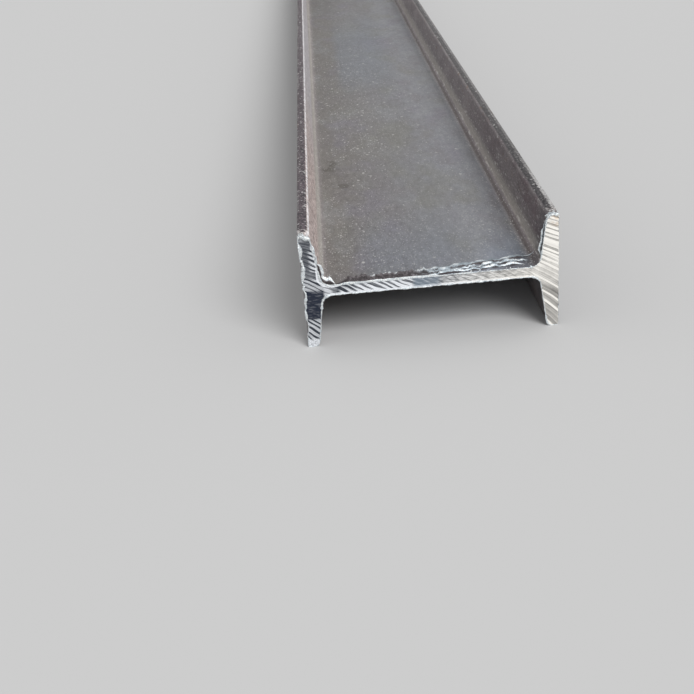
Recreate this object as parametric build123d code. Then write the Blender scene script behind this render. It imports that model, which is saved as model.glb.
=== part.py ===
from build123d import *
import os

# A hot-rolled steel I-beam with tapered flanges: one bar of stock, sawn square at both ends.
# Millimetres, +Z up. X runs across the web, from flange to flange, and Y along the bar. The beam lies
# on its side, web level, on the lower toes of both flanges. The origin is on the floor, under its middle.

# Driving sizes of the section
section_depth = 140.0  # over the two flanges
flange_width = 66.0
web_thickness = 5.7
flange_thickness = 8.6  # midway between the toe and the middle of the flange
flange_slope = 0.14  # how fast the inner face of a flange thickens towards the web
root_radius = 5.7  # hollow between web and flange
toe_radius = 3.4  # inner corner of each toe
heel_radius = 1.2  # outer corner of each toe

# Length of the bar
beam_length = 6000.0

half_depth = section_depth / 2
half_width = flange_width / 2
half_web = web_thickness / 2


def inner_face(height):
    """Where the inner face of a flange is, at a height above the middle of the web."""
    return half_depth - flange_thickness - flange_slope * (half_width / 2 - height)


def quarter_outline():
    """The upper right quarter of the section, with its corners still sharp."""
    return Polyline(
        (0, 0),
        (half_depth, 0),
        (half_depth, half_width),
        (inner_face(half_width), half_width),
        (inner_face(half_web), half_web),
        (0, half_web),
        close=True,
    )


def rolled_section():
    """The whole section: four like quarters, then the rounds that the rolls leave."""
    quarter = make_face(quarter_outline())
    half = quarter + mirror(quarter, about=Plane.YZ)
    section = half + mirror(half, about=Plane.XZ)

    def corners(across, up):
        return section.vertices().filter_by(
            lambda v: abs(abs(v.X) - across) < 0.001 and abs(abs(v.Y) - up) < 0.001
        )

    section = fillet(corners(inner_face(half_web), half_web), root_radius)
    section = fillet(corners(inner_face(half_width), half_width), toe_radius)
    return fillet(corners(half_depth, half_width), heel_radius)


def i_beam():
    """The bar: the section drawn upright across Y and run out both ways from mid-length."""
    upright = Plane.XZ * rolled_section()
    bar = extrude(upright, beam_length / 2, both=True)
    return Pos(0, 0, half_width) * bar


os.makedirs("parts", exist_ok=True)
export_step(i_beam(), "parts/i_beam.step")
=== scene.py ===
import math

import bpy
import numpy as np
from mathutils import Matrix, Vector
from mathutils.geometry import delaunay_2d_cdt


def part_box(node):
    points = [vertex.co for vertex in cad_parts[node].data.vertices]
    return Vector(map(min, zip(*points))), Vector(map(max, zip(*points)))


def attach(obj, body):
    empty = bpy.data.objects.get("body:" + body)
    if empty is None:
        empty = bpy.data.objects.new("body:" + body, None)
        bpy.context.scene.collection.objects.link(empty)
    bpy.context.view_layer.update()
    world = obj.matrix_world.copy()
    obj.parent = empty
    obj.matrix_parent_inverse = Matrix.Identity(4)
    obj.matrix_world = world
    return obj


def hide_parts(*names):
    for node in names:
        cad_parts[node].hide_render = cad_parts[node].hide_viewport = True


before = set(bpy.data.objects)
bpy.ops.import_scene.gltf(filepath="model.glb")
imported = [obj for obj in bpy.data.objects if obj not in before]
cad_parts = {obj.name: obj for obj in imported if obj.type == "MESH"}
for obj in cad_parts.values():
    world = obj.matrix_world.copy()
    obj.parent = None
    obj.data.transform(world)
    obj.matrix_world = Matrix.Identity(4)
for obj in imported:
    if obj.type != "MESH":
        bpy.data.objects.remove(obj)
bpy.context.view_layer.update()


# The viewpoint. The picture is taken from half a metre in front of the sawn end and 20 cm above the left
# flange, looking down along the bar. The bar lies square to the axes, so the camera carries the tilt.
low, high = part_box("i_beam")
near_end, far_end = low.y, high.y
image_size = 694  # pixels
focal_length = 1076  # pixels
eye = Vector((-0.0493, near_end - 0.538, 0.2636))
tip_down, roll, swing = math.radians(26.25), math.radians(5.15), math.radians(-0.07)

level = Matrix(((1, 0, 0), (0, 0, -1), (0, 1, 0)))  # a camera that looks along +Y with its top up
aim = (
    Matrix.Rotation(swing, 3, "Z")
    @ Matrix.Rotation(-tip_down, 3, "X")
    @ Matrix.Rotation(roll, 3, "Y")
    @ level
)
lens = bpy.data.cameras.new("camera")
lens.sensor_width = 36
lens.lens = lens.sensor_width * focal_length / image_size
lens.clip_start = 0.01
camera = bpy.data.objects.new("camera", lens)
camera.matrix_world = Matrix.Translation(eye) @ aim.to_4x4()
bpy.context.scene.collection.objects.link(camera)
bpy.context.scene.camera = camera
bpy.context.scene.view_settings.view_transform = "Standard"


# The rolled bar. One length of low-carbon steel, drawn through grooved rolls while it is red hot, so that
# its flanges taper and its corners are round. Its skin is tight mill scale, and both ends are cut by a
# coarse saw that leaves slanting scores.
mm = 0.001
web_thickness = 5.7 * mm
flange_thickness = 8.6 * mm
flange_slope = 0.14
root_radius = 5.7 * mm
toe_radius = 3.4 * mm
heel_radius = 1.2 * mm
half_depth, half_width, half_web = (high.x - low.x) / 2, (high.z - low.z) / 2, web_thickness / 2
half_length = (far_end - near_end) / 2
middle = (low.z + high.z) / 2
burr_room = 0.9 * mm  # how far the cut faces lie inside the bar's full length, so that the burrs fit in it
outline_pitch, face_pitch = 0.8 * mm, 0.5 * mm
close_stretch = 1.0  # metres of skin at the near end, with the finest rows and most of the texture


def inner_face(height):
    """Where the inner face of a flange is, at a height above the middle of the web."""
    return half_depth - flange_thickness - flange_slope * (half_width / 2 - height)


def section_corners():
    """The sharp corners of the section with their radii, anticlockwise from the lower right root."""
    upper = [
        (half_depth, half_width, heel_radius),
        (inner_face(half_width), half_width, toe_radius),
        (inner_face(half_web), half_web, root_radius),
    ]
    right = [(x, -z, radius) for x, z, radius in reversed(upper)] + upper
    return right + [(-x, -z, radius) for x, z, radius in right]


def rounded(before, here, after, pitch):
    """Points of the arc that rounds the corner at here, closer together than on the flats."""
    fewest_steps, crowding = 4, 1.6
    corner, radius = Vector(here[:2]), here[2]
    arrive = (corner - Vector(before[:2])).normalized()
    leave = (Vector(after[:2]) - corner).normalized()
    turn = math.atan2(arrive.cross(leave), arrive.dot(leave))
    start = corner - arrive * radius * math.tan(abs(turn) / 2)
    centre = start + arrive.orthogonal() * math.copysign(radius, turn)
    steps = max(fewest_steps, math.ceil(crowding * radius * abs(turn) / pitch))
    return [centre + Matrix.Rotation(turn * k / steps, 2) @ (start - centre) for k in range(steps + 1)]


def rolled_outline(pitch):
    """Points round the section, anticlockwise from the middle of the web's underside."""
    corners = section_corners()
    marks = [Vector((0, -half_web))]
    for before, here, after in zip(corners[-1:] + corners, corners, corners[1:] + corners[:1]):
        marks += rounded(before, here, after, pitch)
    points = []
    for here, there in zip(marks, marks[1:] + marks[:1]):
        steps = max(1, round((there - here).length / pitch))
        points += [tuple(here.lerp(there, k / steps)) for k in range(steps)]
    return np.array(points) + (0, middle)


def inside(spots, outline):
    """Which spots are inside the outline, by counting the edges to their right."""
    x, z = spots[:, :1], spots[:, 1:]
    ax, az = outline.T
    bx, bz = np.roll(outline, -1, axis=0).T
    spans = (az > z) != (bz > z)
    crossing = ax + (z - az) * (bx - ax) / np.where(az == bz, 1, bz - az)
    return (spans & (x < crossing)).sum(axis=1) % 2 == 1


def clearance(spots, outline):
    """How far each spot lies from the nearest point of the outline."""
    return np.linalg.norm(spots[:, None] - outline[None], axis=2).min(axis=1)


def cut_face(outline, pitch):
    """A lattice of spots that fills the section, and the triangles that join it to the outline."""
    least_gap = 0.6 * pitch
    heights = np.arange(low.z, high.z, pitch * math.sqrt(3) / 2)
    columns = np.arange(low.x, high.x, pitch)
    lattice = np.array([(x + pitch / 2 * (k % 2), z) for k, z in enumerate(heights) for x in columns])
    lattice = lattice[inside(lattice, outline)]
    lattice = lattice[clearance(lattice, outline) > least_gap]
    spots = [Vector(spot) for spot in np.concatenate([outline, lattice])]
    ring = [(k, (k + 1) % len(outline)) for k in range(len(outline))]
    _, _, triangles, sources, _, _ = delaunay_2d_cdt(spots, ring, [], 1, 1e-9)
    return lattice, np.array([[sources[corner][0] for corner in triangle] for triangle in triangles])


def row_places():
    """Where the rings of points lie along the bar: close together at the ends, then further and further."""
    first_gap, growth, widest_gap, usual_gap = 0.5 * mm, 1.2, 60 * mm, 120 * mm
    gaps = [0]
    while sum(gaps) < close_stretch:
        gaps.append(min(gaps[-1] * growth + first_gap, widest_gap))
    near = np.cumsum(gaps)
    near = near_end + burr_room + near * (close_stretch - burr_room) / near[-1]
    far = -near[::-1] + near_end + far_end
    between = np.linspace(near[-1], far[0], round((far[0] - near[-1]) / usual_gap) + 1)
    return np.concatenate([near, between[1:-1], far])


def texture_layout(outline, lattice, triangles, rows):
    """The texture place of every face corner, in a square of 1024: the near cut face and the first metre of
    skin take most of it, then come the rest of the skin and the far cut face."""
    square, margin = 1024, 4
    close_top, rest_top, far_face_side = 350, 866, 720
    rest_scale, near_face_scale, far_face_scale = (0.2, 0.3), 5, 2
    edge_lengths = np.linalg.norm(np.roll(outline, -1, axis=0) - outline, axis=1)
    girth = np.concatenate([[0], np.cumsum(edge_lengths)]) / mm
    reach = (rows - rows[0]) / mm
    skin = np.zeros((len(rows) - 1, len(outline), 4, 2))
    for corner, (next_row, next_point) in enumerate([(0, 0), (1, 0), (1, 1), (0, 1)]):
        skin[:, :, corner, 0] = reach[next_row:len(reach) - 1 + next_row, None]
        skin[:, :, corner, 1] = girth[None, next_point:len(outline) + next_point]
    close = skin[:, 0, 0, 0] < close_stretch / mm - 1
    skin[close] += (margin, close_top)
    skin[~close] = (skin[~close] - (close_stretch / mm, 0)) * rest_scale + (margin, rest_top)
    face = (np.concatenate([outline, lattice])[triangles] - (low.x, low.z)) / mm
    near_face = face * near_face_scale + (margin, margin)
    far_face = face[:, ::-1] * far_face_scale + (far_face_side, margin)
    return np.concatenate([part.reshape(-1, 2) for part in (skin, near_face, far_face)]) / square


def bar_mesh(outline, lattice, triangles, rows):
    """The skin as rings of quads, closed by a filled cut face at each end, with a texture layout. The mesh
    keeps which faces are cut, and how far inside the rim each point lies, in millimetres."""
    count = len(outline)
    skin_points = [np.insert(outline, 1, y, axis=1) for y in rows]
    face_points = [np.insert(lattice, 1, y, axis=1) for y in (rows[0], rows[-1])]
    here = np.arange(count)
    after = (here + 1) % count
    quads = [
        np.stack([start + here, start + count + here, start + count + after, start + after], axis=1)
        for start in range(0, (len(rows) - 1) * count, count)
    ]
    last_ring, first_inner = (len(rows) - 1) * count, len(rows) * count
    last_inner = first_inner + len(lattice)
    near_face = np.where(triangles < count, triangles, triangles - count + first_inner)
    far_face = np.where(triangles < count, triangles + last_ring, triangles - count + last_inner)[:, ::-1]
    faces = [list(face) for part in (*quads, near_face, far_face) for face in part]
    mesh = bpy.data.meshes.new("steel_bar")
    mesh.from_pydata(np.concatenate(skin_points + face_points), [], faces)
    cut = np.repeat([0.0, 1.0], [len(quads) * count, 2 * len(triangles)])
    mesh.attributes.new("cut", "FLOAT", "FACE").data.foreach_set("value", cut)
    from_rim = clearance(lattice, outline) / mm
    rim = np.concatenate([np.zeros(len(rows) * count), from_rim, from_rim])
    mesh.attributes.new("rim", "FLOAT", "POINT").data.foreach_set("value", rim)
    layout = texture_layout(outline, lattice, triangles, rows)
    mesh.uv_layers.new(name="OFBake").data.foreach_set("uv", layout.ravel())
    mesh.shade_smooth()
    mesh.set_sharp_from_angle(angle=math.radians(60))
    return mesh


def pick(sockets, name):
    """The socket with this number, or the one in use with this name."""
    if isinstance(name, int):
        return sockets[name]
    return next(socket for socket in sockets if socket.enabled and socket.name == name)


class Wire:
    """An output socket in a node tree. Arithmetic on it adds Math nodes to that tree."""

    def __init__(self, tree, socket=None):
        self.tree, self.socket = tree, socket

    def node(self, kind, settings=None, values=None, output=0):
        """Adds a node of this kind, with its settings, and then the values or links of its sockets."""
        made = self.tree.nodes.new(kind)
        for name, setting in (settings or {}).items():
            setattr(made, name, setting)
        for name, value in (values or {}).items():
            for source in value if isinstance(value, tuple) else (value,):
                if isinstance(source, Wire):
                    self.tree.links.new(source.socket, pick(made.inputs, name))
                else:
                    pick(made.inputs, name).default_value = source
        if isinstance(output, tuple):
            return [Wire(self.tree, pick(made.outputs, name)) for name in output]
        return Wire(self.tree, pick(made.outputs, output) if made.outputs else None)

    def maths(self, operation, *numbers):
        return self.node("ShaderNodeMath", {"operation": operation}, dict(enumerate(numbers)))

    def __add__(self, other):
        return self.maths("ADD", self, other)

    def __sub__(self, other):
        return self.maths("SUBTRACT", self, other)

    def __rsub__(self, other):
        return self.maths("SUBTRACT", other, self)

    def __mul__(self, other):
        return self.maths("MULTIPLY", self, other)

    def __truediv__(self, other):
        return self.maths("DIVIDE", self, other)

    def __abs__(self):
        return self.maths("ABSOLUTE", self)

    __radd__, __rmul__ = __add__, __mul__

    def rise(self, start, stop):
        """A smooth step, from 0 at start to 1 at stop."""
        places = {"Value": self, "From Min": start, "From Max": stop}
        return self.node("ShaderNodeMapRange", {"interpolation_type": "SMOOTHSTEP"}, places)

    def clamped(self):
        return self.node("ShaderNodeClamp", None, {"Value": self})

    def shaded(self, share):
        """This colour made darker or brighter by a number."""
        settings = {"data_type": "RGBA", "blend_type": "MULTIPLY"}
        return self.node("ShaderNodeMix", settings, {"Factor": 1.0, "A": self, "B": share}, "Result")

    def blend(self, first, second):
        """The first colour where this is 0 and the second where it is 1."""
        colours = {"Factor": self, "A": first, "B": second}
        return self.node("ShaderNodeMix", {"data_type": "RGBA"}, colours, "Result")

    def times(self, factor):
        """This vector times a number."""
        return self.node("ShaderNodeVectorMath", {"operation": "SCALE"}, {"Vector": self, "Scale": factor})

    def split(self):
        return self.node("ShaderNodeSeparateXYZ", None, {0: self}, (0, 1, 2))

    def vector(self, y, z):
        return self.node("ShaderNodeCombineXYZ", None, {0: self, 1: y, 2: z})

    def noise(self, scale, detail=2.0):
        """Soft noise at a place, from 0 to 1."""
        values = {"Vector": self, "Scale": scale, "Detail": detail}
        return self.node("ShaderNodeTexNoise", None, values, "Fac")

    def cells(self, scale):
        """Scattered cells: how far a place is from its cell's middle, and three chance numbers for it."""
        values = {"Vector": self, "Scale": scale}
        distance, chance = self.node("ShaderNodeTexVoronoi", None, values, ("Distance", "Color"))
        return distance / scale, chance.split()


def seen(red, green, blue):
    """A colour by its values in a picture, from 0 to 255, as the number that a shader takes."""
    shares = [value / 255 for value in (red, green, blue)]
    numbers = [share / 12.92 if share < 0.04045 else ((share + 0.055) / 1.055) ** 2.4 for share in shares]
    return [*numbers, 1]


def new_material(name):
    """An empty material, with wires for the place on the object in millimetres: x, y, z."""
    material = bpy.data.materials.new(name)
    material.use_nodes = True
    material.node_tree.nodes.clear()
    start = Wire(material.node_tree)
    place = start.node("ShaderNodeTexCoord", output="Object")
    return material, place.times(1 / mm).split()


def finish_material(shader_values, height):
    """Ends a material: the shader with these values, and bumps of this height in millimetres."""
    bump = height.node("ShaderNodeBump", None, {"Distance": 1.0, "Height": height * mm})
    shader = bump.node("ShaderNodeBsdfPrincipled", None, {**shader_values, "Normal": bump})
    shader.node("ShaderNodeOutputMaterial", None, {"Surface": shader})


def saw_track(x, z, seed):
    """Where a place of a cut face lies across and along the saw's marks, in millimetres. The marks slant
    down to the right, and less steeply towards the top."""
    steep, gentle, usual = math.radians(42), math.radians(20), math.radians(31)
    web_reach = 58
    slant = steep + (gentle - steep) / (2 * half_width / mm) * z
    side = x.maths("MINIMUM", x.maths("MAXIMUM", x, -web_reach), web_reach)
    down = z - middle / mm
    cosine, sine = slant.maths("COSINE", slant), slant.maths("SINE", slant)
    wander = (x.vector(z, seed).noise(0.07, 2.0) - 0.5) * (4 - 3 * x.rise(50, 58))
    across = down * cosine + (x - side) * sine + side * math.sin(usual) + wander + seed * 7
    return across, x * cosine - down * sine


def saw_marks(across, width):
    """Marks about this wide: a chance number for each, and how far a place is from its edge and middle."""
    settings, values = {"voronoi_dimensions": "1D"}, {"W": across, "Scale": 1 / width, "Randomness": 0.8}
    centre, chance = across.node("ShaderNodeTexVoronoi", settings, values, ("W", "Color"))
    to_edge = {**settings, "feature": "DISTANCE_TO_EDGE"}
    edge = across.node("ShaderNodeTexVoronoi", to_edge, values, "Distance")
    return chance.split()[0], edge * width, across - centre


def web_cut(x, striped, blued, clean):
    """How light the cut face of the web is, and how strongly its stripes show."""
    shade = 0.26 + striped * 0.34 - blued * 0.12 + clean * 0.31 - x.rise(25, 40) * 0.05
    shade = shade + x.rise(-53, -55) * 0.3 - x.rise(-53, -50) * x.rise(-41, -45) * 0.2
    shade = shade - x.rise(3, 7) * x.rise(17, 12) * 0.16 + x.rise(42, 48) * 0.12
    contrast = 0.1 + striped * 0.72 + blued * 0.2 + clean * 0.12 + x.rise(-53, -55) * 0.4
    return shade, contrast


def left_flange_cut(z, teeth, long_lines, darkest, low_stripes, toe):
    """The same for the left flange, which is kept dark, partly as painted shade."""
    shade = 0.11 + teeth * 0.26 + long_lines * 0.16 - darkest * 0.11 + low_stripes * 0.17 + toe * 0.5
    shade = shade + z.rise(37, 39) * z.rise(50, 46) * 0.08 + z.rise(61.5, 63) * 0.2
    contrast = 0.1 + teeth * 0.8 + long_lines * 0.6 - darkest * 0.08 + low_stripes * 0.6 - toe * 0.5
    return shade, contrast


def right_flange_cut(z):
    """The same for the right flange, which is brighter, partly as painted light, and more striped towards
    the top.
    """
    shade = 0.34 + 0.34 * z.rise(20, 30) + 0.18 * z.rise(33, 41) - 0.1 * z.rise(16, 11)
    return shade, 0.14 + 0.86 * z.rise(34, 42)


def coat_with_sawn_steel():
    """Bare steel off the saw: pale where it was cut clean, darkest in a band low on the left flange, with
    slanting marks. The darker left flange and brighter right one, and the light and dark bands, bright
    ridges and thin dark lines of the marks, are partly painted light and shade.
    """
    material, (x, y, z) = new_material("sawn_steel")
    across, along = saw_track(x, z, y.rise(-1, 1) * 3)
    ridge_pitch, score_pitch, stripe_pitch = 6.0, 1.1, 2.5
    broad, broad_edge, broad_lead = saw_marks(across, ridge_pitch)
    fine, fine_edge, _ = saw_marks(across, score_pitch)
    streaks = (across * 1.5).vector(along * 0.06, 3).noise(1.0, 3.0)
    cloud, crisp = x.vector(z, y).noise(0.3, 4.0), x.vector(z, y).noise(2.0, 3.0)
    scuffs = (x * 0.25).vector(z * 1.2, 9).noise(1.0, 3.0)
    # The light and dark bands of the marks are partly painted light and shade, for the saw's facets that
    # tilt towards or away from the light.
    waves = across.maths("PINGPONG", across, stripe_pitch / 2) / (stripe_pitch / 2)
    low_on_web = (middle / mm - z) * 0.08 * abs(x).rise(58, 54)
    stripes = (waves + (fine - 0.5) * 0.5 + (streaks - 0.5) * 0.9 + low_on_web).rise(0.3, 0.55)
    rim = x.node("ShaderNodeAttribute", {"attribute_name": "rim"}, None, "Fac")

    left, right = x.rise(-57.5, -59.5), x.rise(54, 58)
    web = (1 - left) * (1 - right)
    striped, blued, clean = x.rise(-51, -48) * x.rise(-8, -11), x.rise(-11, -8) * x.rise(7, 3), x.rise(3, 7)
    teeth = z.rise(43, 46) * z.rise(58, 55) * x.rise(-66, -63.5)
    long_lines = z.rise(32, 34) * z.rise(42, 39)
    darkest, low_stripes, toe = z.rise(35, 33) * z.rise(15.5, 17.5), z.rise(17.5, 15.5), z.rise(5.5, 3.5)
    web_shade, web_contrast = web_cut(x, striped, blued, clean)
    left_shade, left_contrast = left_flange_cut(z, teeth, long_lines, darkest, low_stripes, toe)
    right_shade, right_contrast = right_flange_cut(z)
    shade = web * web_shade + left * left_shade + right * right_shade
    contrast = web * web_contrast + left * left_contrast + right * right_contrast

    # painted highlight along the leading edge of each broad mark on the right flange, which is also raised
    # a little
    ridge_and_highlight = broad_edge.rise(1.35, 0.95) * broad_lead.rise(-0.1, 0.1) * right
    tone = shade + (stripes - 0.5) * contrast + (streaks - 0.5) * (0.25 + 0.5 * contrast)
    tone = tone + (cloud - 0.5) * (0.15 + 0.4 * shade) + ridge_and_highlight * 0.8 + (broad - 0.5) * 0.25 * right
    tone = tone + (scuffs - 0.5) * (web * (1.7 * clean + 1.4 * blued) + 0.6 * darkest * left)
    tone = tone + (crisp - 0.5) * (0.1 + 0.5 * shade + 0.7 * blued * web + 2.4 * toe * left)
    # painted shadow: a thin dark line along the edge of each fine mark
    tone = tone - fine_edge.rise(0.2, 0.05) * 0.15 * (1 - darkest * left)
    corner = x.rise(-65.5, -63.5) * x.rise(-46, -52) * z.rise(33, 36) * z.rise(62, 58)
    corner = corner * (0.4 + 0.6 * z.rise(49, 43))
    rim_width = 0.3 + web * (0.95 * z.rise(33, 31) - 0.15) + (cloud - 0.5) * 1.6 + corner * 1.5
    tone = tone + (rim_width - rim).rise(-0.1, 0.15) * (0.35 + 0.4 * web + 0.5 * corner)

    # darker and bluer towards the left of the cut face and paler to the right, partly painted shade and
    # painted light
    to_right = x.rise(-20, 60)
    pale = to_right.blend(seen(236, 239, 244), seen(250, 247, 241))
    dark = to_right.blend(seen(44, 50, 60), seen(108, 106, 103))
    dark = (left * darkest).blend(dark, seen(24, 32, 50))
    colour = tone.clamped().blend(dark, pale)
    colour = (web * blued * 0.5).blend(colour, seen(150, 164, 178))
    straw = x.rise(64, 68) * z.rise(57, 61) * x.vector(z, 7).noise(0.3, 2.0).rise(0.4, 0.6)
    colour = (straw * 0.45).blend(colour, seen(206, 168, 120))
    shine = {"Base Color": colour, "Metallic": 0.25, "Roughness": 0.5 - 0.2 * streaks}
    finish_material(shine, streaks * 0.12 + ridge_and_highlight * 0.15 + fine * 0.06)
    return material


def specks(place, scale, share, radius):
    """Small light spots: how much of one there is at a place, for this many cells a millimetre."""
    distance, (chance, size, _) = place.cells(scale)
    inward = size * radius + radius * 0.6 - distance
    return (chance + share).rise(0.99, 1.01) * inward.rise(0.0, radius * 0.5)


def mottled_scale(x, y, z, cloud, patch):
    """The scale's own colour: brown-grey to blue-grey from the left to the right, with olive and violet."""
    to_right = (x + (cloud - 0.5) * 90).rise(-62, 58)
    colour = to_right.blend(seen(124, 120, 116), seen(135, 136, 141))
    colour = (patch.rise(0.45, 0.7) * 0.45).blend(colour, seen(120, 115, 117))
    colour = (patch.rise(0.5, 0.3) * 0.4).blend(colour, seen(143, 144, 146))
    olive = x.vector(y * 0.5, z + 50).noise(0.03, 4.0)
    colour = (olive.rise(0.5, 0.7) * 0.5).blend(colour, seen(126, 125, 117))
    return (olive.rise(0.45, 0.3) * 0.5).blend(colour, seen(128, 124, 134))


def smudged(colour, x, y, z, from_end):
    """The colour with two dark smudges on the left of the web, and a painted soft shadow round them."""
    smear = x.vector(y * 0.5, z).noise(0.16, 4.0).rise(0.4, 0.6)
    near_smudge = (abs(x + 40) - smear * 9).rise(3, -4) * (abs(from_end - 173) - smear * 6).rise(1, -3)
    far_smudge = (abs(x + 49) - smear * 7).rise(3, -4) * (abs(from_end - 221) - smear * 16).rise(1, -5)
    # painted shadow: a soft dark patch round the smudges
    shade = (x + smear * 25).rise(-15, -50) * (abs(from_end - 190) - smear * 60).rise(60, -20)
    smudge_and_shadow = (near_smudge + far_smudge).clamped() * 0.62 + shade * 0.22
    return smudge_and_shadow.blend(colour, seen(84, 80, 72))


def scaled_flanges(colour, patch, from_end, above_web, on_side, to_right):
    """The colour with browner scale on the insides of the flanges, and a painted highlight along the
    rounded hollows at their roots.
    """
    side = patch.rise(0.35, 0.65).blend(seen(154, 144, 145), seen(130, 121, 122))
    side = (from_end.rise(700, 200) * 0.5).blend(side, seen(120, 112, 114))
    purple = patch.rise(0.42, 0.6) * from_end.rise(260, 60) * above_web.rise(8, 14)
    side = purple.blend(side, seen(112, 92, 98))
    colour = (on_side * 0.85).blend(colour, side)
    # painted highlight: a pale band along the rounded roots of the flanges
    up_root = above_web - to_right * 2.5
    root_highlight = on_side * up_root.rise(0.1, 1.5) * up_root.rise(12, 5)
    return (root_highlight * 0.85).blend(colour, seen(174, 169, 163))


def roots_with_powder_light_and_shade(colour, x, y, z, from_end, above_web, powder_and_light):
    """The colour with pale pink powder inside the left flange, which also stands in as painted light on
    that lit face, a dark line of painted shade in the crease at the right root, and scuffs along that root.
    """
    # pale pink powder inside the left flange, partly dust and partly painted light
    powder_and_light_colour = x.vector(y, z).noise(0.4, 3.0).rise(0.36, 0.62)
    powder_and_light_colour = powder_and_light_colour.blend(seen(200, 176, 170), seen(227, 213, 208))
    powder_and_light_colour = from_end.rise(130, 430).blend(powder_and_light_colour, seen(208, 204, 207))
    colour = (powder_and_light * 0.85).blend(colour, powder_and_light_colour)
    # painted shade: a dark line in the crease where the right flange's root meets the web
    root_crease_shade = x.rise(51, 54) * above_web.rise(0.2, 0.9) * above_web.rise(2.6, 1.2)
    colour = (root_crease_shade * 0.8).blend(colour, seen(88, 78, 76))
    scuffs = specks(x.vector(y * 0.12, z), 0.5, 0.35, 0.7) * from_end.rise(700, 420)
    scuffs = scuffs * x.rise(54, 56) * above_web.rise(1.5, 2.5) * above_web.rise(9, 6)
    return (scuffs * 0.5).blend(colour, seen(232, 230, 226))


def tinted_web(colour, x, from_end):
    """The colour with cool tints on the web, and painted shade on the web just behind the cut, where the
    torn strips stand.
    """
    blue = from_end.rise(80, 10) * x.rise(18, 48) * x.rise(57, 53)
    colour = (blue * 0.55).blend(colour, seen(130, 141, 158))
    cool = from_end.rise(400, 540) * from_end.rise(900, 680) * x.rise(-38, -26) * x.rise(35, 0)
    cool = cool + from_end.rise(130, 30) * x.rise(-45, -25) * x.rise(35, 10)
    colour = (cool * 0.45).blend(colour, seen(124, 131, 142))
    # painted shade: the web darkened just behind the cut, under and between the torn strips
    strip_shade = from_end.rise(26, 8) * x.rise(34, 48) + from_end.rise(7, 2) * x.rise(-30, 10) * 0.6
    return (strip_shade.clamped() * 0.6).blend(colour, seen(80, 77, 80))


def toe_scale(x, place, from_end, to_right):
    """The colour of the toes: dark pitted scale with pale chips, a pale outer line, and metal that the saw
    has smeared over it."""
    pitted = place.noise(0.8, 3.0).rise(0.38, 0.62) * x.rise(68.5, 66)
    even = to_right * from_end.rise(30, 160)
    pits = even.blend(seen(48, 42, 48), seen(70, 67, 68))
    toe = pitted.blend(pits, to_right.blend(seen(104, 92, 98), seen(96, 93, 95)))
    outer_line = (x + place.noise(0.4, 3.0) * 2 - 1).rise(67.2, 68.1) * place.noise(0.9, 3.0).rise(0.3, 0.5)
    toe = outer_line.blend(toe, from_end.rise(120, 40).blend(seen(132, 129, 129), seen(218, 216, 215)))
    chips = specks(place, 0.45, 0.3, 0.8) + from_end.rise(6, 1) * place.noise(0.5, 2.0).rise(0.4, 0.5)
    toe = (chips.clamped() * (0.75 - 0.5 * even)).blend(toe, seen(196, 194, 194))
    metal = place.noise(1.5, 2.0).rise(0.4, 0.65).blend(seen(160, 150, 146), seen(240, 238, 238))
    smeared = (place.noise(0.35, 4.0) * 18 - from_end).rise(-1.5, 1) * place.noise(0.9, 3.0).rise(0.35, 0.5)
    return (smeared * 0.85).blend(toe, metal)


def lip_highlights(colour, x, z, place, drawn, to_right):
    """The colour with a painted highlight along the rounded inner lips of the toes, strong on the left and
    faint on the right, and rust under the right one.
    """
    # painted highlight along the inner lips of the toes, broken up at random
    lip_breakup = 0.3 + 0.7 * drawn.noise(0.22, 3.0).rise(0.35, 0.55)
    lip_breakup = lip_breakup * (1 - 0.6 * to_right * place.noise(0.5, 3.0).rise(0.45, 0.55))
    lip_highlight = (z - to_right * 0.4).rise(63.2, 64.1) * (z - to_right * 0.3).rise(65.3, 64.7) * lip_breakup
    colour = (lip_highlight * (0.9 - 0.84 * to_right)).blend(colour, seen(240, 238, 240))
    rust = drawn.noise(0.16, 5.0).rise(0.58, 0.7) * z.rise(52, 61) * z.rise(65.8, 65) * x.rise(10, 20)
    return (rust * 0.5).blend(colour, seen(128, 98, 78))


def plain_sides(colour, x, y, z, drag, outside, hidden):
    """The colour with plainer scale on the outsides, and flakes, rust and gouges there and underneath."""
    plain = drag.rise(0.25, 0.75).blend(seen(114, 113, 117), seen(134, 132, 134))
    colour = (outside * z.rise(65.5, 64.5) * 0.85).blend(colour, plain)
    flaked = x.vector(y * 0.35, z).noise(0.09, 6.0)
    colour = (flaked.rise(0.56, 0.6) * hidden * 0.3).blend(colour, seen(158, 156, 156))
    colour = (flaked.rise(0.42, 0.3) * hidden * 0.5).blend(colour, seen(118, 92, 76))
    gouge = x.vector(y * 0.015, z).noise(1.6, 2.0).rise(0.68, 0.72)
    gouge = gouge * x.vector(y, z).noise(0.02, 1.0).rise(0.5, 0.6)
    return (gouge * hidden * 0.7).blend(colour, seen(196, 196, 198))


def dust_cover(x, y, z, drawn, from_end, above_web, on_side, hidden, calm):
    """How much of a speck of dust there is at a place. The specks crowd on the left of the web."""
    crowd = x.rise(-62, -40) * x.rise(30, -10) * from_end.rise(150, 330) * from_end.rise(760, 430)
    crowd = crowd + drawn.noise(0.02, 2.0).rise(0.45, 0.7) * 0.4 + on_side * above_web.rise(1, 3) * 0.4
    crowd = (crowd * (1 - hidden * 0.8)).clamped()
    close, strewn = from_end.rise(200, 10), x.vector(y * 0.65, z)
    dust = specks(strewn, 0.2, 0.05 + 0.6 * crowd, 0.8) * 0.52
    dust = dust + specks(strewn, 0.5, 0.04 + 0.4 * crowd, 0.5) * 0.45
    dust = dust + specks(strewn, 0.95, 0.2 + 0.35 * close, 0.32) * 0.4
    dust = dust + specks(strewn, 0.07, 0.1, 0.6) * 0.6 * crowd
    on_right_flange = x.rise(54, 57) * above_web.rise(1.5, 4) * z.rise(61, 55)
    dust = dust + specks(x.vector(y * 0.2, z), 0.7, 0.35, 0.45) * 0.6 * on_right_flange
    return (dust * (1 - 0.7 * hidden) * (1 - 0.4 * calm)).clamped()


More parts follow.
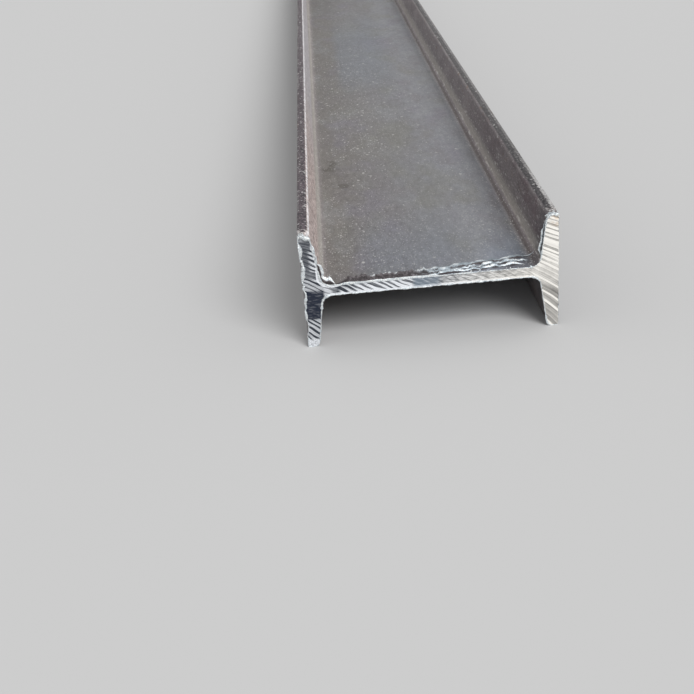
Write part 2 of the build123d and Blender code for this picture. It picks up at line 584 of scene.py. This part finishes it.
def lightness(x, y, z, grain, peel, drag, calm, powder_and_light, from_end, above_web):
    """How light the skin is: its grain and peel, and painted shade and painted light along the bar, which
    darken it far from the end, on the left of the web, beside the right root and inside the right flange
    near the end, and lighten it at the left root and on the right of the web.
    """
    light = 0.27 + 0.95 * grain - 0.35 * (grain - 0.5) * calm + 0.5 * peel
    # painted shade, darker further from the end and partly eased again, and drag streaks along the roots
    light = light - 0.16 * from_end.rise(200, 1200) - 0.08 * from_end.rise(700, 1600)
    light = light + 0.09 * from_end.rise(300, 1600) + (drag - 0.5) * 0.5 * abs(x).rise(51, 56)
    # painted shade on the left of the web
    left_shade = 0.045 + 0.03 * from_end.rise(250, 600) + 0.06 * from_end.rise(750, 1000)
    light = light - left_shade * x.rise(-12, -38) * x.rise(-55, -50)
    # painted light at the left root near the end
    painted_left_light = x.rise(-58, -54) * x.rise(-41, -47) * from_end.rise(205, 160) * from_end.rise(30, 120)
    light = light + 0.1 * painted_left_light
    # painted light at the left root and on the right of the web up its fillet; painted shade beside the
    # right root and inside the right flange near the end
    light = light + 0.08 * x.rise(-52, -56) * above_web.rise(8, 3)
    light = light + 0.14 * x.rise(12, 40) * (above_web * x.rise(40, 54)).rise(13, 7)
    light = light - 0.07 * x.rise(49, 54) * above_web.rise(1.5, 0.8)
    light = light + 0.1 * x.rise(41, 48) * above_web.rise(2, 0.8) * from_end.rise(200, 320)
    light = light - 0.24 * x.rise(60, 61) * from_end.rise(300, 90)
    # grain in the powder inside the left flange, and painted light there further from the end
    coarse = (x.vector(y * 0.5, z).noise(0.28, 4.0) - 0.5) * 0.9
    speckle = (x.vector(y, z).noise(0.4, 3.0) - 0.5) * 2.0 * from_end.rise(420, 160)
    return light + powder_and_light * (coarse + speckle + 0.13 * from_end.rise(200, 700))


def coat_with_mill_scale():
    """Tight blue-grey oxide from the rolling, mottled violet and olive, with dust, gouges and rust."""
    material, (x, y, z) = new_material("mill_scale")
    place, drawn = x.vector(y, z), x.vector(y * 0.4, z)
    cloud, patch = drawn.noise(0.017, 4.0), drawn.noise(0.07, 5.0)
    grain, peel = drawn.noise(1.3, 2.0), drawn.noise(0.3, 4.0)
    drag = x.vector(y * 0.06, z).noise(1.0, 3.0)
    from_end, above_web = half_length / mm - abs(y), z - middle / mm - half_web / mm
    on_side, to_right = abs(x).rise(54, 59), x.rise(-10, 10)
    outside = abs(x).rise(68.3, 69.2)
    hidden = (outside + z.rise(33, 31)).clamped()
    # where the pale powder and painted light lie, inside the left flange
    powder_and_light = x.rise(-55, -59) * x.rise(-68.5, -67) * above_web.rise(2, 7)
    calm = x.rise(-25, 10) * x.rise(56, 52)

    colour = smudged(mottled_scale(x, y, z, cloud, patch), x, y, z, from_end)
    colour = scaled_flanges(colour, patch, from_end, above_web, on_side, to_right)
    colour = roots_with_powder_light_and_shade(colour, x, y, z, from_end, above_web, powder_and_light)
    colour = tinted_web(colour, x, from_end)
    colour = z.rise(64.9, 65.5).blend(colour, toe_scale(x, place, from_end, to_right))
    colour = lip_highlights(colour, x, z, place, drawn, to_right)
    colour = plain_sides(colour, x, y, z, drag, outside, hidden)
    scraped = from_end.rise(9, 2) * x.rise(-10, 0) * x.rise(44, 30) * place.noise(0.6, 3.0).rise(0.42, 0.58)
    colour = (scraped * above_web.rise(2, 1) * 0.75).blend(colour, seen(172, 180, 192))
    dust = dust_cover(x, y, z, drawn, from_end, above_web, on_side, hidden, calm)
    colour = dust.blend(colour, seen(226, 225, 222))
    light = lightness(x, y, z, grain, peel, drag, calm, powder_and_light, from_end, above_web)
    shine = {"Base Color": colour.shaded(light), "Metallic": 0.4, "Roughness": 0.42 + 0.2 * cloud}
    finish_material(shine, grain * 0.04 + peel * 0.06 + patch * 0.12)
    return material


def new_tree(name, sizes):
    """A geometry tree that takes a geometry and these named numbers, with a wire for each."""
    tree = bpy.data.node_groups.new(name, "GeometryNodeTree")
    tree.is_modifier = True
    tree.interface.new_socket("Result", in_out="OUTPUT", socket_type="NodeSocketGeometry")
    tree.interface.new_socket("Start", in_out="INPUT", socket_type="NodeSocketGeometry")
    for size in sizes:
        tree.interface.new_socket(size, in_out="INPUT", socket_type="NodeSocketFloat")
    return Wire(tree).node("NodeGroupInput", output=tuple(range(len(sizes) + 1)))


def finish_tree(geometry, coats):
    """Ends a geometry tree: its copies become real meshes, and each coat's material goes where it says."""
    geometry = geometry.node("GeometryNodeRealizeInstances", None, {"Geometry": geometry})
    for material, where in coats:
        values = {"Geometry": geometry, "Selection": where, "Material": material}
        geometry = geometry.node("GeometryNodeSetMaterial", None, values)
    geometry.node("NodeGroupOutput", None, {0: geometry})
    return geometry.tree


def settle(piece, tree, sizes):
    """Runs a geometry tree on the piece with these sizes, and keeps the result as its plain mesh."""
    modifier = piece.modifiers.new("shape", "NODES")
    modifier.node_group = tree
    for name, size in sizes.items():
        modifier[tree.interface.items_tree[name].identifier] = size
    evaluated = piece.evaluated_get(bpy.context.evaluated_depsgraph_get())
    mesh = bpy.data.meshes.new_from_object(evaluated)
    piece.modifiers.clear()
    piece.data = mesh


def sawn_relief(coats):
    """The tree that raises the saw's facets out of the cut faces, chips the outer edge of the left flange
    and wears the toes down at both ends."""
    names = ["Score depth", "Chip depth", "Toe loss", "Seed"]
    bar, score_depth, chip_depth, toe_loss, seed = new_tree("sawn_relief", names)
    x, y, z = bar.node("GeometryNodeInputPosition").times(1 / mm).split()
    back = y.rise(-1, 1)
    across, _ = saw_track(x, z, back * 3)
    facet_pitch, score_pitch = 4.4, 1.1
    broad, _, broad_lead = saw_marks(across, facet_pitch)
    fine, _, fine_lead = saw_marks(across, score_pitch)
    facet = broad_lead * (broad - 0.5) * 0.14 + fine_lead * (fine - 0.5) * 0.2
    rough = x.vector(y, z).noise(0.9, 3.0)
    from_end = half_length / mm - abs(y)
    on_face = from_end.rise(1.2, 1.0)
    out = (facet + (rough - 0.5) * score_depth) * (2 * back - 1) * on_face
    bites = z.vector(seed, back).noise(0.11, 3.0).rise(0.35, 0.62)
    chip = bites * chip_depth * x.rise(-60, -69.5) * from_end.rise(7, 1) * z.rise(0.5, 6) * z.rise(61, 55)
    worn = x.vector(y, seed).noise(0.3, 3.0).rise(0.2, 0.6) * from_end.rise(10, 1) * z.rise(57, 66)
    shift = chip.vector(out, worn * toe_loss * (x.rise(-10, 10) * 0.4 - 1))
    bar = bar.node("GeometryNodeSetPosition", None, {"Geometry": bar, "Offset": shift.times(mm)})
    cut = bar.node("GeometryNodeInputNamedAttribute", None, {"Name": "cut"}, "Attribute")
    on_skin, on_cut = cut.maths("LESS_THAN", cut, 0.5), cut.maths("GREATER_THAN", cut, 0.5)
    skin_coat, cut_coat = coats
    return finish_tree(bar, [(skin_coat, on_skin), (cut_coat, on_cut)])


outline = rolled_outline(outline_pitch)
lattice, triangles = cut_face(outline, face_pitch)
rows = row_places()
bar = bpy.data.objects.new("steel_bar", bar_mesh(outline, lattice, triangles, rows))
bpy.context.scene.collection.objects.link(bar)
coats = coat_with_mill_scale(), coat_with_sawn_steel()
settle(bar, sawn_relief(coats), {"Score depth": 0.12, "Chip depth": 1.7, "Toe loss": 2.2, "Seed": 4.0})
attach(bar, "root")
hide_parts("i_beam")


# The burrs. The saw rolls hot metal over every edge of its cut, so an uneven bead of bright torn steel runs
# round both ends, thickest along the outside of the left flange and under the web.
bead_thickness = 0.3
near_rim, far_rim = (
    np.array([vertex.co for vertex in bar.data.vertices[first:first + len(outline)]])
    for first in (0, (len(rows) - 1) * len(outline))
)


def path_piece(name, points, closed, hefts):
    """A piece that is only a line through these points, each with the heft of what will run along it."""
    count = len(points)
    mesh = bpy.data.meshes.new(name)
    edges = [(k, (k + 1) % count) for k in range(count if closed else count - 1)]
    mesh.from_pydata(points, edges, [])
    mesh.attributes.new("heft", "FLOAT", "POINT").data.foreach_set("value", hefts)
    piece = bpy.data.objects.new(name, mesh)
    bpy.context.scene.collection.objects.link(piece)
    return piece


def coat_with_torn_steel():
    """Torn metal, bright or dark, by how dark the tree says that it is: 0 bright, a half dull, 1 darkest.
    The dark feet of the strips are partly painted shade.
    """
    material, (x, y, z) = new_material("torn_steel")
    place, to_right = x.vector(y, z), x.rise(-15, 5)
    lumps, fleck = place.noise(0.5, 3.0), place.noise(2.2, 2.0)
    lumps = lumps + ((x * 0.3).vector(y, z).noise(0.5, 3.0) - lumps) * to_right
    darkness = x.node("ShaderNodeAttribute", {"attribute_name": "darkness"}, None, "Fac")
    darkness = darkness + (lumps - 0.5) * (1.1 + 0.6 * to_right) + (fleck - 0.5) * (1.1 - 0.3 * to_right)
    bright = fleck.rise(0.3, 0.7).blend(seen(172, 184, 194), seen(246, 247, 244))
    dull = to_right.blend(seen(120, 114, 117), seen(138, 148, 155))
    darkest = fleck.rise(0.35, 0.65).blend(seen(46, 42, 44), seen(84, 79, 81))
    colour = darkness.rise(0.15, 0.4).blend(bright, dull)
    colour = darkness.rise(0.6, 0.85).blend(colour, darkest)
    finish_material({"Base Color": colour, "Metallic": 0.5, "Roughness": 0.34 + 0.3 * fleck}, fleck * 0.15)
    return material


def kept_in_box(geometry):
    """The geometry with every point drawn back inside the bar's box."""
    place = geometry.node("GeometryNodeInputPosition")
    for operation, corner in (("MAXIMUM", low), ("MINIMUM", high)):
        place = place.node("ShaderNodeVectorMath", {"operation": operation}, {0: place, 1: corner})
    return geometry.node("GeometryNodeSetPosition", None, {"Geometry": geometry, "Position": place})


def seeded_place(geometry, seed):
    """The place of each point in millimetres, moved along so that each seed meets other noise."""
    x, y, z = geometry.node("GeometryNodeInputPosition").times(1 / mm).split()
    return (x + seed * 31).vector(y, z)


def shaken(geometry, seed, scale, reach):
    """The geometry with its points pushed about at random, by up to about this reach in millimetres."""
    spot = seeded_place(geometry, seed)
    x, y, z = spot.node("ShaderNodeTexNoise", None, {"Vector": spot, "Scale": scale}, "Color").split()
    push = ((x - 0.5) * reach * mm).vector((y - 0.5) * reach * mm, (z - 0.5) * reach * mm)
    return geometry.node("GeometryNodeSetPosition", None, {"Geometry": geometry, "Offset": push})


def curve_along(path, spacing):
    """The path as a curve with points at this spacing in millimetres, and the heft at each point."""
    curve = path.node("GeometryNodeMeshToCurve", None, {0: path})
    values = {"Curve": curve, "Length": spacing * mm}
    curve = curve.node("GeometryNodeResampleCurve", {"mode": "LENGTH"}, values)
    return curve, curve.node("GeometryNodeInputNamedAttribute", None, {"Name": "heft"}, "Attribute")


def rolled_bead(material):
    """The tree that lays an uneven bead along a path, thicker where the path's heft is more."""
    path, thickness, seed = new_tree("rolled_bead", ["Thickness", "Seed"])
    ring_spacing, ring_points = 0.45, 8
    curve, heft = curve_along(path, ring_spacing)
    spot = seeded_place(curve, seed)
    lumps, beads = spot.noise(0.13, 4.0).rise(0.4, 0.68), spot.noise(0.7, 3.0).rise(0.4, 0.75)
    radius = thickness * heft * (0.35 + 1.2 * lumps + 0.6 * beads) * mm
    circle = {"Resolution": ring_points, "Radius": 1.0}
    profile = curve.node("GeometryNodeCurvePrimitiveCircle", {"mode": "RADIUS"}, circle)
    parts = {"Curve": curve, "Profile Curve": profile, "Scale": radius}
    bead = shaken(curve.node("GeometryNodeCurveToMesh", None, parts), seed, 1.6, 0.7)
    return finish_tree(kept_in_box(bead), [(material, True)])


def rim_heft(rim):
    """How thick the bead is at each point of a rim, as a share of its usual thickness."""
    x, z = rim[:, 0] / mm, rim[:, 2] / mm
    up = z - middle / mm
    changes = [
        (0.3, (abs(x) < 58) & (up < 0)),  # under the web
        (-0.65, (x > -50) & (x < 10) & (up > 0)),  # on top of the web's left half
        (1.0, (x > -61) & (x < -50) & (abs(up) < 12)),  # in the left roots
        (1.2, (x < -64) & (z > 18)),  # outside the left flange
        (1.6, (x < -64) & (z > 40) & (z < 60)),  # the upper half of that
        (0.7, (z > 62) | (z < 4)),  # on the toes
        (2.5, (x < -66) & (z > 64)),  # on the upper left toe
        (-0.4, x > 69),  # outside the right flange
    ]
    heft = 1 + sum(change * where for change, where in changes)
    smooth_reach = 4
    around = np.concatenate([heft[-smooth_reach:], heft, heft[:smooth_reach]])
    window = 2 * smooth_reach + 1
    return np.convolve(around, np.ones(window) / window, "valid")


torn_steel = coat_with_torn_steel()
bead_tree = rolled_bead(torn_steel)
for end, rim, seed in (("near", near_rim, 1.0), ("far", far_rim, 2.0)):
    bead = path_piece("rolled_burr_" + end, rim, True, rim_heft(rim))
    settle(bead, bead_tree, {"Thickness": bead_thickness, "Seed": seed})
    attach(bead, "root")


# Lumps. Drops of hot metal have stuck to the cut, where they froze: most of them on the toes and on the
# outside of the left flange, and a few behind the upper edge of the web.
lump_spacing = 0.7
largest_lump = 1.5


def stuck_lumps(material):
    """The tree that sticks lumps of metal at random along a path, more of them where its heft is more."""
    path, spacing, largest, inward, seed = new_tree("stuck_lumps", ["Spacing", "Largest", "Inward", "Seed"])
    curve, heft = curve_along(path, spacing)
    spot = seeded_place(curve, seed)
    chance, size, turn = spot.node("ShaderNodeTexWhiteNoise", None, {"Vector": spot}, "Color").split()
    drop = curve.node("GeometryNodeMeshIcoSphere", None, {"Radius": 1.0, "Subdivisions": 2}, "Mesh")
    radius = largest * (0.2 + 0.8 * size) * (0.5 + 0.15 * heft) * mm
    behind = turn * turn * mm
    aside, climb = inward * behind * (2.5 + heft * 1.6), behind * heft.rise(2, 3) * 1.5
    spread = curve.node("ShaderNodeCombineXYZ", None, {1: aside, 2: climb})
    points = curve.node("GeometryNodeSetPosition", None, {"Geometry": curve, "Offset": spread})
    instances = {
        "Points": points,
        "Selection": (heft * 0.3).maths("GREATER_THAN", heft * 0.3, chance),
        "Instance": drop,
        "Rotation": (turn * 6).vector(size * 6, chance * 6),
        "Scale": radius.vector(radius * (0.4 + turn), radius * 0.7),
    }
    lumps = curve.node("GeometryNodeInstanceOnPoints", None, instances, "Instances")
    lumps = lumps.node("GeometryNodeRealizeInstances", None, {"Geometry": lumps})
    return finish_tree(kept_in_box(shaken(lumps, seed, 0.9, 1.1)), [(material, True)])


def lump_heft(rim):
    """How many lumps there are at each point of a rim: 0 for none."""
    x, z = rim[:, 0] / mm, rim[:, 2] / mm
    shares = [
        (1.5, (x < -66) & (z > 30)),  # outside the left flange
        (2.0, (x < -66) & (z > 61)),  # more on the upper left toe
        (3.0, (x > 60) & (z > 61)),  # on the upper right toe
        (0.3, (abs(x) < 56) & (z > middle / mm)),  # along the upper edge of the web
    ]
    return sum(share * where for share, where in shares)


lump_tree = stuck_lumps(torn_steel)
for end, rim, inward, seed in (("near", near_rim, 1.0, 5.0), ("far", far_rim, -1.0, 6.0)):
    lumps = path_piece("burr_lumps_" + end, rim, True, lump_heft(rim))
    sizes = {"Spacing": lump_spacing, "Largest": largest_lump, "Inward": inward, "Seed": seed}
    settle(lumps, lump_tree, sizes)
    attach(lumps, "root")


# Torn strips. Here and there the rolled-over metal has torn into thin strips, which stand up behind the
# edge on the web, in the corner of the left flange and along the inside of the right one. Their feet are
# dark, partly with scale and partly as painted shade under and between them, and their crests are bright
# and frayed.
strip_gauge = 0.3 * mm

# In millimetres: how tall a strip is, how far back its foot stands and how much further at its end. As
# shares: how far its crest leans, how torn and frayed it is, how dark its foot and its crest are, how far
# up it the tone changes, and how much it tapers.
usual_strip = {
    "Height": 1.6, "Back": 0.8, "Splay": 0.0, "Lean": 0.8, "Tear": 0.5, "Fray": 0.2,
    "Foot": 1.0, "Crest": 0.1, "Split": 0.5, "Taper": 0.0,
}

# Each strip runs between two places of the section, and differs from the usual one in what follows them.
strips = {
    "web_left": ((4, 36), (-53, 36), {
        "Height": 3.0, "Lean": 2.2, "Fray": 0.35, "Foot": 0.9, "Crest": 0.68, "Split": 0.7,
    }),
    "web_fringe": ((6, 36), (-38, 36), {
        "Height": 3.3, "Back": 2.2, "Lean": 2.0, "Tear": 0.8, "Fray": 0.5, "Split": 0.7,
    }),
    "web_front": ((53, 37), (-6, 36), {
        "Height": 2.4, "Back": 6.0, "Splay": -5.8, "Tear": 0.75, "Fray": 0.05, "Crest": 0.26, "Split": 0.4,
    }),
    "web_middle": ((56, 39), (-12, 36), {
        "Height": 2.3, "Back": 11.0, "Splay": -8.5, "Tear": 0.8, "Fray": 0.05, "Crest": 0.28, "Split": 0.45,
    }),
    "web_back": ((57.5, 41), (-22, 36), {
        "Back": 16.5, "Splay": -11.5, "Lean": 1.4, "Fray": 0.1, "Crest": 0.3,
    }),
    "left_corner": ((-51, 36), (-59.6, 51), {
        "Height": 5.8, "Back": 2.0, "Lean": 0.4, "Crest": -0.1, "Split": 0.4, "Taper": 0.6,
    }),
    "left_flange": ((-59, 47), (-61.4, 61), {"Height": 1.3, "Back": 0.5, "Lean": 0.3, "Foot": 0.4}),
    "right_flange": ((63, 66), (57.8, 41), {
        "Height": 2.3, "Back": 0.9, "Lean": 0.1, "Tear": 0.55, "Fray": 0.4,
    }),
    "web_lip": ((10, 36), (-54, 37), {
        "Height": 1.35, "Back": 0.15, "Lean": 0.15, "Tear": 0.25, "Fray": 0.08, "Foot": -0.3, "Crest": -0.3,
    }),
}


def torn_strip(material):
    """The tree that stands a torn strip up along a path, its crest leaning along the bar."""
    inputs = new_tree("torn_strip", [*usual_strip, "Inward", "Seed"])
    path, height, back, splay, lean, tear, fray, foot_dark, crest_dark, split, taper, inward, seed = inputs
    curve = path.node("GeometryNodeMeshToCurve", None, {0: path})
    length = curve.node("GeometryNodeCurveLength", None, {0: curve}) / mm
    grid_values = {"Size X": 1.0, "Size Y": 1.0, "Vertices X": length * 2.2, "Vertices Y": 7}
    sheet = curve.node("GeometryNodeMeshGrid", None, grid_values, "Mesh")
    u, v, _ = sheet.node("GeometryNodeInputPosition").split()
    u, v = u + 0.5, v + 0.5
    spot = {"Curves": curve, "Factor": u}
    foot, tangent = curve.node("GeometryNodeSampleCurve", {"mode": "FACTOR"}, spot, ("Position", "Tangent"))
    along = u * length
    bites = along.vector(seed, 0).noise(0.16, 4.0).rise(0.35, 0.68)
    threads = along.vector(seed, 5).noise(0.9, 4.0)
    fade = length * 0.12 + 1.5
    tall = height * along.maths("DIVIDE", along, fade).rise(0, 1) * ((1 - u) * length / fade).rise(0, 1)
    tall = tall * (1 - tear * bites) * (1 + 2 * fray * (threads - 0.5)) * (1 - taper * u)
    waves = along.vector(seed, v * 2).noise(0.16, 3.0)
    bend = v * 1.3
    up = tall * bend.maths("SINE", bend) - 0.3
    away = back + splay * u + lean * tall * (1 - bend.maths("COSINE", bend))
    away = away + (waves - 0.5) * (0.6 + 5 * fray * v)
    tx, _, tz = tangent.split()
    fx, fy, fz = foot.split()
    place = (fx + tz * up * mm).vector(fy + inward * away * mm, fz - tx * up * mm)
    # dark at the foot, partly scale and partly painted shade, and bright at the crest
    darkness = foot_dark + (crest_dark - foot_dark) * v.rise(split - 0.12, split + 0.12)
    tone = {"Geometry": sheet, "Name": "darkness", "Value": darkness}
    sheet = sheet.node("GeometryNodeStoreNamedAttribute", None, tone)
    sheet = sheet.node("GeometryNodeSetPosition", None, {"Geometry": sheet, "Position": place})
    return finish_tree(kept_in_box(sheet), [(material, True)])


def stretch(rim, start, stop):
    """The part of a rim from the point nearest to start, anticlockwise to the point nearest to stop."""
    places = rim[:, (0, 2)] / mm
    first, last = (np.linalg.norm(places - place, axis=1).argmin() for place in (start, stop))
    return rim[np.arange(first, last + 1 if last > first else last + 1 + len(rim)) % len(rim)]


strip_tree = torn_strip(torn_steel)
for end, rim, inward in (("near", near_rim, 1.0), ("far", far_rim, -1.0)):
    for number, (name, (start, stop, changes)) in enumerate(strips.items()):
        path = stretch(rim, start, stop)
        strip = path_piece("torn_strip_" + name + "_" + end, path, False, np.ones(len(path)))
        settle(strip, strip_tree, {**usual_strip, **changes, "Inward": inward, "Seed": number * 5 + inward})
        strip.modifiers.new("gauge", "SOLIDIFY").thickness = strip_gauge
        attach(strip, "root")


# The floor and the light of a plain studio: a pale floor, an even sky, and one large soft lamp to the right
# in front, which leaves the inside of the right flange in shade.
pale_grey = [0.57, 0.57, 0.57, 1]
floor_reach = 60.0
sky_strength, lamp_strength = 0.6, 2.3
lamp_tilt, lamp_swing, lamp_softness = math.radians(50), math.radians(30), math.radians(35)

corners = [(-1, -1), (1, -1), (1, 1), (-1, 1)]
mesh = bpy.data.meshes.new("floor")
mesh.from_pydata([(x * floor_reach, y * floor_reach, low.z) for x, y in corners], [], [range(4)])
floor = bpy.data.objects.new("floor", mesh)
bpy.context.scene.collection.objects.link(floor)
floor_material = bpy.data.materials.new("floor")
floor_material.use_nodes = True
surface = floor_material.node_tree.nodes["Principled BSDF"]
surface.inputs["Base Color"].default_value = pale_grey
surface.inputs["Specular IOR Level"].default_value = 0
mesh.materials.append(floor_material)

world = bpy.data.worlds.new("studio")
bpy.context.scene.world = world
world.use_nodes = True
sky = world.node_tree.nodes["Background"]
sky.inputs["Color"].default_value = [1, 1, 1, 1]
sky.inputs["Strength"].default_value = sky_strength
lamp_data = bpy.data.lights.new("lamp", "SUN")
lamp_data.energy = lamp_strength
lamp_data.angle = lamp_softness
lamp = bpy.data.objects.new("lamp", lamp_data)
lamp.rotation_euler = (lamp_tilt, 0, lamp_swing)
bpy.context.scene.collection.objects.link(lamp)
